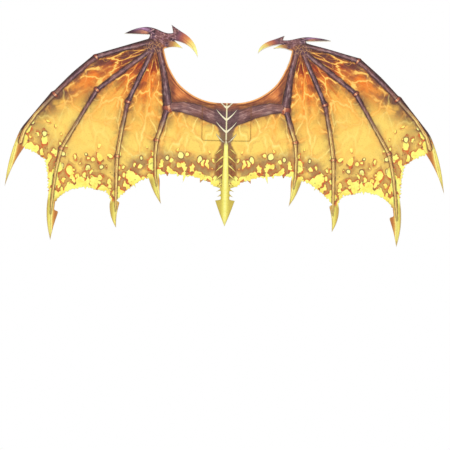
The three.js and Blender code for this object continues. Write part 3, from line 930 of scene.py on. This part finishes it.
    def horn(self, colour):
        run = self.number("horn_run")
        paint = self.ramp((self.number("horn_side") + self.wiggle).rise(-0.007, 0.006), [
            (0.0, 198, 126, 92), (0.2, 214, 152, 118), (0.36, 146, 92, 106), (0.55, 160, 112, 148),
            (0.78, 198, 150, 190), (1.0, 120, 82, 112),
        ])
        paint = self.mix(self.fine.rise(0.45, 0.62) * 0.35, paint, rgb(96, 62, 84))
        cool = run.rise(0.12, 0.5) * self.number("horn_side").fall(-0.002, 0.0)
        paint = self.mix(cool * 0.6, paint, rgb(112, 74, 96))
        paint = self.mix(run.rise(0.3, 0.8), paint, rgb(66, 40, 50))
        here = run.rise(0.02, 0.2) * self.number("horn_gap").fall(0.012, 0.016)
        return self.mix(here, colour, paint)

    def beak(self, colour):
        """The hooked upper beak and the short jaw under it, both lemon at the tip."""
        run = self.number("beak_run")
        paint = self.ramp(run + (self.fine - 0.5) * 0.12, [
            (0.0, 116, 80, 96), (0.14, 140, 84, 92), (0.24, 186, 100, 78), (0.38, 226, 150, 90),
            (0.54, 248, 218, 120), (0.75, 252, 246, 150),
        ])
        back = self.number("beak_side").rise(0.001, 0.006) * run.fall(0.35, 0.62)
        paint = self.mix(back * 0.6, paint, rgb(96, 58, 70))
        groove = self.number("beak_side").span(-0.0006, 0.0006, 0.0006) * run.fall(0.6, 0.9)
        paint = self.mix(groove * 0.5, paint, rgb(122, 66, 60))
        here = run.rise(0.02, 0.12) * self.number("beak_gap").fall(0.014, 0.018)
        colour = self.mix(here, colour, paint)
        jaw_run = self.number("jaw_run")
        jaw = self.ramp(jaw_run, [
            (0.0, 110, 74, 80), (0.4, 186, 128, 76), (0.8, 250, 232, 124),
        ])
        here = jaw_run.rise(0.05, 0.3) * self.number("jaw_gap").fall(0.007, 0.01)
        return self.mix(here, colour, jaw)

    def barbs(self, colour, place, pitch, half, reach, here, paint, dark):
        """Pairs of tapered strokes off the middle line, each where place comes back to a whole pitch."""
        off = self.math("PINGPONG", place + 0.3, pitch / 2)
        slim = off - (half - self.across * (half / reach))
        here = here * self.across.fall(reach * 0.85, reach)
        colour = self.mix(slim.fall(0.0008, 0.0024) * (here * 0.7), colour, dark)
        return self.mix(slim.fall(-0.0002, 0.0007) * here, colour, paint)

    def spine(self, colour):
        """Dark ground, pale barbs that rise from a thin line, then a yellow shaft with barbs that fall."""
        curve = self.across * self.across * 16
        width = 0.011 + self.up.rise(-0.03, 0.01) * 0.012
        width = width + self.up.span(-0.104, -0.056, 0.014) * 0.01
        outside = self.across + (self.medium - 0.5) * 0.016 - width
        ground = outside.fall(-0.003, 0.004) * self.up.span(-0.114, 0.03, 0.012)
        paint = self.mix(self.up.rise(-0.055, -0.035), rgb(138, 76, 48), rgb(98, 70, 76))
        paint = self.mix(self.fine.rise(0.45, 0.65) * 0.55, paint, rgb(54, 36, 38))
        colour = self.mix(ground * 0.85, colour, paint)
        rising = self.up - self.across * 0.7 - curve
        here = self.up.span(-0.036, 0.04, 0.003)
        colour = self.barbs(
            colour, rising, 0.0235, 0.0022, 0.021, here, rgb(240, 230, 196), rgb(60, 42, 48)
        )
        line = self.across.fall(0.0009, 0.0017) * self.up.rise(-0.05, -0.04)
        colour = self.mix(line * 0.9, colour, rgb(242, 232, 184))
        falling = self.up + self.across * 0.5 + curve
        here = self.up.span(-0.126, -0.052, 0.003)
        return self.barbs(
            colour, falling, 0.017, 0.0022, 0.0205, here, rgb(248, 228, 118), rgb(104, 62, 40)
        )

    def tail(self, colour):
        widen = self.across + self.up * 0.035
        low = self.up.fall(-0.046, -0.036)
        paint = self.ramp((self.across + self.wiggle).rise(0.0, 0.009), [
            (0.0, 252, 246, 148), (0.35, 238, 226, 106), (1.0, 202, 180, 80),
        ])
        colour = self.mix(widen.fall(0.0026, 0.0045) * low * 0.6, colour, rgb(112, 74, 48))
        colour = self.mix((widen + self.wiggle).fall(0.0018, 0.0026) * low, colour, paint)
        paint = self.mix(self.medium.rise(0.45, 0.65) * 0.35, paint, rgb(214, 204, 82))
        paint = self.mix(self.rim.fall(0.0005, 0.004) * 0.45, paint, rgb(180, 160, 68))
        here = self.up.fall(-0.127, -0.119) * self.across.fall(0.02, 0.026)
        return self.mix(here, colour, paint)

    def lines(self, colour):
        """Painted shade on the felt along the patch's seam, and the thin dark line of the leading edge."""
        # Painted shade along the seam's groove and puckers.
        colour = self.mix(self.number("seam_gap").fall(0.0004, 0.0026) * 0.28, colour, rgb(120, 76, 34))
        outer = self.up.rise(-0.03, 0.0) * self.across.rise(0.125, 0.14)
        return self.mix(self.rim.fall(0.0006, 0.0018) * outer * 0.8, colour, rgb(40, 26, 28))

    def felt(self, colour):
        height, fibres, clumps = felt_relief(self, self.flat)
        colour = self.mix(fibres.rise(0.5, 0.75) * 0.1, colour, rgb(255, 246, 225), "SCREEN")
        colour = self.mix(clumps.fall(0.3, 0.5) * 0.12, colour, rgb(60, 36, 20), "MULTIPLY")
        return self.finish(colour, 0.92, self.bump(height, 0.0004, 0.5), sheen=0.08)


def print_material():
    n = Print()
    colour = n.membrane()
    for layer in (n.smoke, n.cracks, n.veins, n.burnt_hem, n.dots, n.claws, n.bones, n.joints, n.neckline,
                  n.wrist, n.horn, n.beak, n.spine, n.tail, n.lines):
        colour = layer(colour)
    return n.felt(colour)


def plain_felt_material(name, tint):
    n = Nodes(name)
    place = n.vector("flat")
    height, fibres, clumps = felt_relief(n, place)
    handled = n.noise(n.warped(place, 18, 0.04), 42, 3.0, 0.55)
    height = height * 0.5 + handled * 1.6
    pale = (*(min(1.0, c * 1.14) for c in tint[:3]), 1.0)
    colour = n.mix(fibres.rise(0.3, 0.7), tint, pale)
    colour = n.mix(clumps.fall(0.3, 0.55) * 0.2, colour, rgb(186, 174, 154))
    colour = n.mix(handled.rise(0.42, 0.7) * 0.35, colour, rgb(196, 184, 162))
    return n.finish(colour, 0.95, n.bump(height, 0.0009, 0.7), sheen=0.15)


def elastic_material():
    """Woven elastic: cords side by side between two plain bound edges, each crossed by slanting picks."""
    n = Nodes("woven_elastic")
    across, along, _ = n.parts(n.vector("flat"))
    rib = n.math("PINGPONG", across + 0.05, WEB_RIB / 2 * MM).rise(0.0, WEB_RIB / 2 * MM)
    slant = along + abs(across) * 0.8 + 1.0
    pick = n.math("PINGPONG", slant, 0.0006).rise(0.0, 0.0006)
    bound = abs(across).rise(0.0084, 0.0088)
    height = rib * (0.75 - bound * 0.6) + pick * 0.35
    fuzz = n.noise(n.vector("flat"), 1600, 2.0)
    # Painted highlight on the raised cords and picks, and painted shade in the grooves between them.
    colour = n.mix(height, rgb(12, 12, 14), rgb(62, 62, 68))
    colour = n.mix(bound * 0.6, colour, n.mix(pick, rgb(16, 16, 18), rgb(48, 48, 52)))
    colour = n.mix(fuzz.rise(0.5, 0.7) * 0.3, colour, rgb(84, 84, 90))
    return n.finish(colour, 0.7, n.bump(height, 0.0004, 0.8), sheen=0.1)


def thread_material(name, tint, dark):
    n = Nodes(name)
    across, along, _ = n.parts(n.vector("flat"))
    ply = n.math("PINGPONG", along + across + 1.0, 0.00035)
    twist = ply.rise(0.0, 0.00035)
    # Painted shade in the grooves between the plies, and painted highlight on their crests.
    return n.finish(n.mix(twist, dark, tint), 0.75, n.bump(twist, 0.0001, 0.7))


# The seam of the patch, half across and half up, and its corners.
SEAM_ACROSS, SEAM_UP, SEAM_CORNER = 47.0, 34.5, 4.5


def rounded_rectangle(half_x, half_y, r, arc=5):
    points = []
    for right, up, start in ((1, -1, -90), (1, 1, 0), (-1, 1, 90), (-1, -1, 180)):
        cx, cy = right * (half_x - r), up * (half_y - r)
        for k in range(arc + 1):
            a = math.radians(start + 90 * k / arc)
            points.append((cx + r * math.cos(a), cy + r * math.sin(a)))
    return np.array(points)


SEAM = rounded_rectangle(SEAM_ACROSS, SEAM_UP, SEAM_CORNER)


def seam_distance(flat):
    return to_polyline(flat, SEAM, closed=True)[0]


def wall(count):
    """The quads of a sheet's edge, between four rings of count points."""
    rows = []
    for k in range(3):
        a = np.arange(count) + k * count
        b = np.roll(np.arange(count), -1) + k * count
        rows.append(np.stack([a, a + count, b + count, b], 1))
    return np.concatenate(rows)


def renumbered(tri, count, ring_row, start):
    """A side's triangles, when its ring is row ring_row of the wall and its inner points begin at start."""
    return np.where(tri < count, tri + ring_row * count, tri - count + start)


# The panel's mesh: the steps between points on its rim and its two sides, and how far off the rim they
# begin. Then the four rings of its edge: the layer, where the sides are -1 and 1, and how far in it is.
RIM_STEP = 2.2
FRONT_STEP, FRONT_MARGIN = 2.15, 1.0
BACK_STEP, BACK_MARGIN = 5.0, 2.0
EDGE_RINGS = [(-0.96, 0.28), (-0.5, 0.0), (0.5, 0.0), (0.96, 0.28)]
# How the felt wanders, as waves of a height and a pitch. It lies flat within the first distance from the
# patch, and is free beyond the second.
SLOW_WAVE, SLOW_PITCH, QUICK_WAVE, QUICK_PITCH = 0.9, 95, 0.22, 24
HELD, FREE = 6, 40
# The seam pulls a groove into the print, with small puckers beside it.
SEAM_GROOVE, GROOVE_WIDTH = 0.55, 1.3
PUCKER, PUCKER_WIDTH, PUCKER_PITCH = 0.25, 7, 13


def panel_surface(flat, layer):
    """Where flat points of the layers from -1, printed, to 1, bare, are on the worn panel."""
    u, v = flat[:, 0], flat[:, 1]
    normal = worn_normal(u, v)
    drift = SLOW_WAVE * uneven(flat, SLOW_PITCH, 3) + QUICK_WAVE * uneven(flat, QUICK_PITCH, 5)
    seam = seam_distance(flat)
    near_patch = 1 - smooth(seam * ~inside(flat, SEAM), HELD, FREE)
    groove = SEAM_GROOVE * np.exp(-((seam / GROOVE_WIDTH) ** 2))
    ripple = PUCKER * np.exp(-((seam / PUCKER_WIDTH) ** 2)) * uneven(flat, PUCKER_PITCH, 8)
    shift = drift * (1 - near_patch)
    shift += np.where(layer < 0, groove + ripple, 0)
    return worn(u, v) + normal * (layer * FELT / 2 + shift)[:, None]


def make_panel(materials):
    ring = printed_outline()
    if signed_area(ring) < 0:
        ring = ring[::-1]
    ring = eased(ring)
    flat_size = ring.max(0) - ring.min(0)
    flat_area = abs(signed_area(ring))
    rim = resampled(ring, RIM_STEP)
    count = len(rim)
    inward = inward_of(rim)
    front_inner = grid_inside(ring, FRONT_STEP, FRONT_MARGIN)
    back_inner = grid_inside(ring, BACK_STEP, BACK_MARGIN)
    front_tri = triangulated(rim, front_inner)
    back_tri = triangulated(rim, back_inner)

    levels = [(rim + inward * inset, layer) for layer, inset in EDGE_RINGS]
    levels += [(front_inner, -1.0), (back_inner, 1.0)]
    points = np.concatenate([panel_surface(flat, np.full(len(flat), layer)) for flat, layer in levels])
    flats = np.concatenate([flat for flat, _ in levels])
    front = renumbered(front_tri, count, 0, 4 * count)
    back = renumbered(back_tri, count, 3, 4 * count + len(front_inner))[:, ::-1]
    sides = wall(count)
    faces = [*front.tolist(), *back.tolist(), *sides.tolist()]
    slots = [0] * len(front) + [1] * (len(back) + len(sides))
    obj = new_piece("felt_panel", points, faces, materials, slots)

    figures = figure(flats)
    figures["rim_gap"] = to_polyline(flats, ring, closed=True)[0] * MM
    figures["seam_gap"] = seam_distance(flats) * MM
    away = np.stack([np.abs(flats[:, 0]), flats[:, 1]], 1)
    round_neck = np.arctan2(away[:, 0], NECK_MIDDLE - away[:, 1]) * NECK_RADIUS
    from_neck = np.hypot(away[:, 0], NECK_MIDDLE - away[:, 1])
    figures["rim_place"] = np.stack([round_neck, from_neck, np.zeros(len(away))], 1) * MM
    figures["neck_side"] = to_polyline(away, ARM_TOP)[2]
    figures["hub_gap"] = np.hypot((away[:, 0] - HUB[0]) * 0.8, away[:, 1] - HUB[1]) * MM
    thumb = smooth(to_polyline(away, THUMB_FOOT)[2], -1.5, 1.5)
    figures["thumb"] = thumb * smooth(away[:, 1], 140, 143)
    for name, values in figures.items():
        if values.ndim == 2:
            vector_attribute(obj, name, values)
        else:
            float_attribute(obj, name, values)
    return obj, flat_size * MM, flat_area * MM * MM


# The patch, flat on the wearer's back, pulled in along its seam: half across, half up, thickness, corners.
PATCH_W, PATCH_H, PATCH_T, PATCH_R = 48.5, 36.0, 2.0, 6.0
PATCH_STEP, PATCH_MARGIN = 1.6, 1.1
# The rings of its edge: how far in, where in depth, and whether they belong to the wearer's side.
PATCH_RINGS = [(0.35, -0.04, True), (0.0, -0.5, True), (0.0, -1.5, False), (0.35, -1.96, False)]
# How deep its seam is on the wearer's side and on the other, how wide, and how it swells and at what pitch.
PATCH_GROOVE, PATCH_BACK_GROOVE, PATCH_GROOVE_WIDTH = 0.5, 0.25, 1.1
PATCH_SWELL, PATCH_SWELL_PITCH = 0.18, 16


def patch_surface(flat, y, wearer):
    groove = np.exp(-((seam_distance(flat) / PATCH_GROOVE_WIDTH) ** 2))
    soft = PATCH_SWELL * (uneven(flat, PATCH_SWELL_PITCH, 11) - 1)
    depth = (PATCH_GROOVE * groove - soft * 0.6) if wearer else -PATCH_BACK_GROOVE * groove
    return np.stack([flat[:, 0], y - depth, flat[:, 1]], 1)


def make_patch(material):
    ring = resampled(rounded_rectangle(PATCH_W, PATCH_H, PATCH_R, 6), PATCH_STEP)
    count = len(ring)
    inward = inward_of(ring)
    inner = grid_inside(ring, PATCH_STEP, PATCH_MARGIN)
    tri = triangulated(ring, inner)
    levels = [(ring + inward * inset, y, wearer) for inset, y, wearer in PATCH_RINGS]
    levels += [(inner, 0.0, True), (inner, -PATCH_T, False)]
    points = [patch_surface(flat, np.full(len(flat), y), wearer) for flat, y, wearer in levels]
    flats = np.concatenate([ring] * 4 + [inner, inner])
    wearer_tri = renumbered(tri, count, 0, 4 * count)[:, ::-1]
    inner_tri = renumbered(tri, count, 3, 4 * count + len(inner))
    sides = wall(count)[:, [0, 3, 2, 1]]
    faces = [*wearer_tri.tolist(), *inner_tri.tolist(), *sides.tolist()]
    obj = new_piece("felt_patch", np.concatenate(points), faces, [material])
    vector_attribute(obj, "flat", np.concatenate([flats * MM, np.zeros((len(flats), 1))], 1))
    return obj


# The elastic loops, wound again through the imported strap's sections as ribbed webbing.
def strap_sections(name, side):
    co, tri = mesh_data(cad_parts[name])
    near = [set() for _ in co]
    for t in tri:
        for i in range(3):
            near[t[i]].add(int(t[(i + 1) % 3]))
            near[t[i]].add(int(t[i - 1]))
    # The first section is the one in the upper half that lies least far out this way.
    start_way = np.array([side * 0.985, 0, 0.17])
    upper = np.where(co[:, 2] > 0, co @ start_way, 1e9)
    current = set(int(i) for i in np.argsort(upper)[:4])
    seen = set(current)
    rings = [sorted(current)]
    while True:
        following = set().union(*(near[i] for i in current)) - seen
        if len(following) != 4:
            break
        rings.append(sorted(following))
        seen |= following
        current = following
    if len(seen) != len(co):
        raise SystemExit(f"{name}: {len(seen)} of {len(co)} points are in its sections")
    middles, acrosses, faces = [], [], []
    for ring in rings:
        p = co[ring]
        middle = p.mean(0)
        offset = p - middle
        _, _, axes = np.linalg.svd(offset)
        across, face = axes[0], axes[1]
        if middles:
            across = across * np.sign(across @ acrosses[-1])
            face = face * np.sign(face @ faces[-1])
        else:
            face = face * np.sign(-face[1])
        middles.append(middle)
        acrosses.append(across)
        faces.append(face)
    return np.array(middles), np.array(acrosses), np.array(faces)


# The webbing: half its width and thickness, its ribs, how deep the grooves between them are, as a share of
# the thickness, a rib's width, and the step between its sections.
WEB_HALF, WEB_THICK, WEB_RIBS, WEB_GROOVE = 10.0, 0.6, 18, 0.24
WEB_RIB = 2 * WEB_HALF / WEB_RIBS
WEB_STEP = 2.2


def make_strap(name, source, side, material):
    middles, acrosses, faces = strap_sections(source, side)
    run = runs_of(middles)
    at = np.linspace(0, run[-1], int(run[-1] / WEB_STEP))

    def along(values):
        return np.stack([np.interp(at, run, values[:, k]) for k in range(3)], 1)

    def softened(values):
        out = values.copy()
        for _ in range(3):
            out[1:-1] = (out[:-2] + 2 * out[1:-1] + out[2:]) / 4
        return out

    middle, across, face = softened(along(middles)), softened(along(acrosses)), softened(along(faces))
    way = np.gradient(middle, axis=0)
    way /= np.linalg.norm(way, axis=1)[:, None]
    face -= (face * way).sum(1)[:, None] * way
    face /= np.linalg.norm(face, axis=1)[:, None]
    hand = np.sign((np.cross(way, face) * across).sum())
    across = np.cross(way, face) * hand
    section = []
    for k in range(WEB_RIBS * 2 + 1):
        x = -1 + k / WEB_RIBS
        edge = math.sqrt(max(0.0, 1 - abs(x) ** 10))
        groove = WEB_GROOVE if k % 2 == 0 and 0 < k < 2 * WEB_RIBS else 0.0
        section.append((x * WEB_HALF, WEB_THICK * (0.25 + 0.75 * edge) * (1 - groove)))
    section = section + [(x, -y) for x, y in reversed(section)]
    points, flats = [], []
    for i in range(len(at)):
        for x, y in section:
            points.append(middle[i] + across[i] * x + face[i] * y)
            flats.append((x * MM, at[i] * MM, 0))
    size = len(section)
    quads = []
    for i in range(len(at) - 1):
        for k in range(size):
            a, b = i * size + k, i * size + (k + 1) % size
            quads.append((a, b, b + size, a + size))
    half = size // 2
    for k in range(half - 1):
        quads.append((k, size - 1 - k, size - 2 - k, k + 1))
        last = (len(at) - 1) * size
        quads.append((last + k, last + k + 1, last + size - 2 - k, last + size - 1 - k))
    quads = np.array(quads)
    if hand > 0:
        quads = quads[:, ::-1]
    obj = new_piece(name, np.array(points), quads, [material])
    vector_attribute(obj, "flat", np.array(flats))
    return obj, run[-1] * MM


# Stitches: short thread loops that dip into the felt at both ends. Their pitch, height and dip.
STITCH_PITCH, STITCH_RISE, STITCH_DIP = 2.9, 0.34, 0.16


def stitch_places(line, pitch):
    closed = np.concatenate([line, line[:1]])
    run = runs_of(closed)
    count = int(round(run[-1] / pitch))
    for k in range(count):
        a, b = run[-1] * (k + 0.1) / count, run[-1] * (k + 0.9) / count
        ts = np.linspace(a, b, 7)
        yield np.stack([np.interp(ts, run, closed[:, 0]), np.interp(ts, run, closed[:, 1])], 1), ts


def make_stitches(name, surface, outward, material, thread=0.36, sides=6):
    """surface(flat points) gives the felt's surface there, outward the side that the thread stands on."""
    points, flats, quads = [], [], []
    for flat, ts in stitch_places(SEAM, STITCH_PITCH):
        base = surface(flat)
        lift = STITCH_RISE * np.sin(np.linspace(0, math.pi, len(ts))) - STITCH_DIP
        middle = base + outward[None, :] * lift[:, None]
        way = np.gradient(middle, axis=0)
        way /= np.linalg.norm(way, axis=1)[:, None]
        start = len(points)
        for i in range(len(ts)):
            a = np.cross(way[i], outward)
            a /= np.linalg.norm(a)
            b = np.cross(way[i], a)
            for k in range(sides):
                angle = 2 * math.pi * k / sides
                points.append(middle[i] + thread * (a * math.cos(angle) + b * math.sin(angle)))
                flats.append((thread * angle * MM, ts[i] * MM, 0))
        for i in range(len(ts) - 1):
            for k in range(sides):
                a, b = start + i * sides + k, start + i * sides + (k + 1) % sides
                quads.append((a, a + sides, b + sides, b))
        quads.append(tuple(start + k for k in range(sides)))
        quads.append(tuple(start + (len(ts) - 1) * sides + k for k in reversed(range(sides))))
    obj = new_piece(name, np.array(points), quads, [material])
    vector_attribute(obj, "flat", np.array(flats))
    return obj


printed = print_material()
bare = plain_felt_material("bare_felt", rgb(216, 208, 190))
patch_felt = plain_felt_material("patch_felt", rgb(212, 203, 184))
elastic = elastic_material()
brown_thread = thread_material("brown_thread", rgb(150, 104, 52), rgb(84, 54, 28))
pale_thread = thread_material("pale_thread", rgb(236, 230, 214), rgb(176, 168, 150))

panel, panel_flat, panel_area = make_panel([printed, bare])
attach(panel, "root")
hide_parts("wing_panel")

patch = make_patch(patch_felt)
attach(patch, "root")
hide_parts("strap_patch")

for word, side in (("left", -1), ("right", 1)):
    strap, length = make_strap("elastic_loop_" + word, "strap_" + word, side, elastic)
    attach(strap, "root")
    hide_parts("strap_" + word)


def printed_face(flat):
    u, v = flat[:, 0], flat[:, 1]
    return worn(u, v) + worn_normal(u, v) * (SEAM_GROOVE - FELT / 2)


def patch_face(flat):
    return np.stack([flat[:, 0], np.full(len(flat), -PATCH_GROOVE), flat[:, 1]], 1)


stitches = [
    make_stitches("seam_printed_side", printed_face, np.array([0.0, -1.0, 0.0]), brown_thread),
    make_stitches("seam_wearer_side", patch_face, np.array([0.0, 1.0, 0.0]), pale_thread),
]
for piece, slot in zip(stitches, ("printed_felt", "plain_felt")):
    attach(piece, "root")

# Plain pale floor, at the wearer's feet, and soft studio light.
FLOOR_Z = -1.25
FLOOR_RADIUS = 14.0
# It fades to white between these distances from its middle.
FADE_START, FADE_END = 1.6, 3.6


def make_floor():
    n = Nodes("pale_floor")
    place = Value(n, n.make("ShaderNodeTexCoord").outputs["Object"])
    material = n.finish(n.mix(n.noise(place, 1.2, 2.0), rgb(232, 231, 228), rgb(240, 239, 237)), 0.8)
    away = n.make("ShaderNodeVectorMath", operation="LENGTH")
    n.put(away.inputs[0], place)
    white = n.make("ShaderNodeEmission")
    blend = n.make("ShaderNodeMixShader")
    n.put(blend.inputs[0], Value(n, away.outputs["Value"]).rise(FADE_START, FADE_END))
    n.tree.links.new(n.out.inputs[0].links[0].from_socket, blend.inputs[1])
    n.tree.links.new(white.outputs[0], blend.inputs[2])
    n.tree.links.new(blend.outputs[0], n.out.inputs[0])
    count = 96
    turns = [2 * math.pi * k / count for k in range(count)]
    ring = [(FLOOR_RADIUS * math.cos(a), FLOOR_RADIUS * math.sin(a), 0) for a in turns]
    mesh = bpy.data.meshes.new("floor")
    mesh.from_pydata(ring, [], [tuple(range(count))])
    mesh.materials.append(material)
    floor = bpy.data.objects.new("floor", mesh)
    floor.location = (0, 0, FLOOR_Z)
    bpy.context.scene.collection.objects.link(floor)


def make_light(name, place, size, power):
    data = bpy.data.lights.new(name, "AREA")
    data.shape = "DISK"
    data.size = size
    data.energy = power
    lamp = bpy.data.objects.new(name, data)
    lamp.location = place
    lamp.rotation_euler = (Vector((0, 0, -0.05)) - Vector(place)).to_track_quat("-Z", "Y").to_euler()
    bpy.context.scene.collection.objects.link(lamp)


make_floor()
make_light("key", (-1.6, -2.6, 1.7), 1.5, 52)
make_light("fill", (2.2, -2.2, 0.4), 2.0, 15)
make_light("back", (2.3, 1.7, 1.3), 1.1, 40)

world = bpy.data.worlds.new("studio")
world.use_nodes = True
backdrop = world.node_tree.nodes["Background"]
backdrop.inputs["Color"].default_value = (1.0, 1.0, 1.0, 1.0)
backdrop.inputs["Strength"].default_value = 0.56
seen = world.node_tree.nodes.new("ShaderNodeBackground")
seen.inputs["Color"].default_value = (1.0, 1.0, 1.0, 1.0)
seen.inputs["Strength"].default_value = 1.0
path = world.node_tree.nodes.new("ShaderNodeLightPath")
both = world.node_tree.nodes.new("ShaderNodeMixShader")
join = world.node_tree.links.new
join(path.outputs["Is Camera Ray"], both.inputs[0])
join(backdrop.outputs[0], both.inputs[1])
join(seen.outputs[0], both.inputs[2])
join(both.outputs[0], world.node_tree.nodes["World Output"].inputs["Surface"])
bpy.context.scene.world = world
bpy.context.scene.view_settings.view_transform = "Standard"
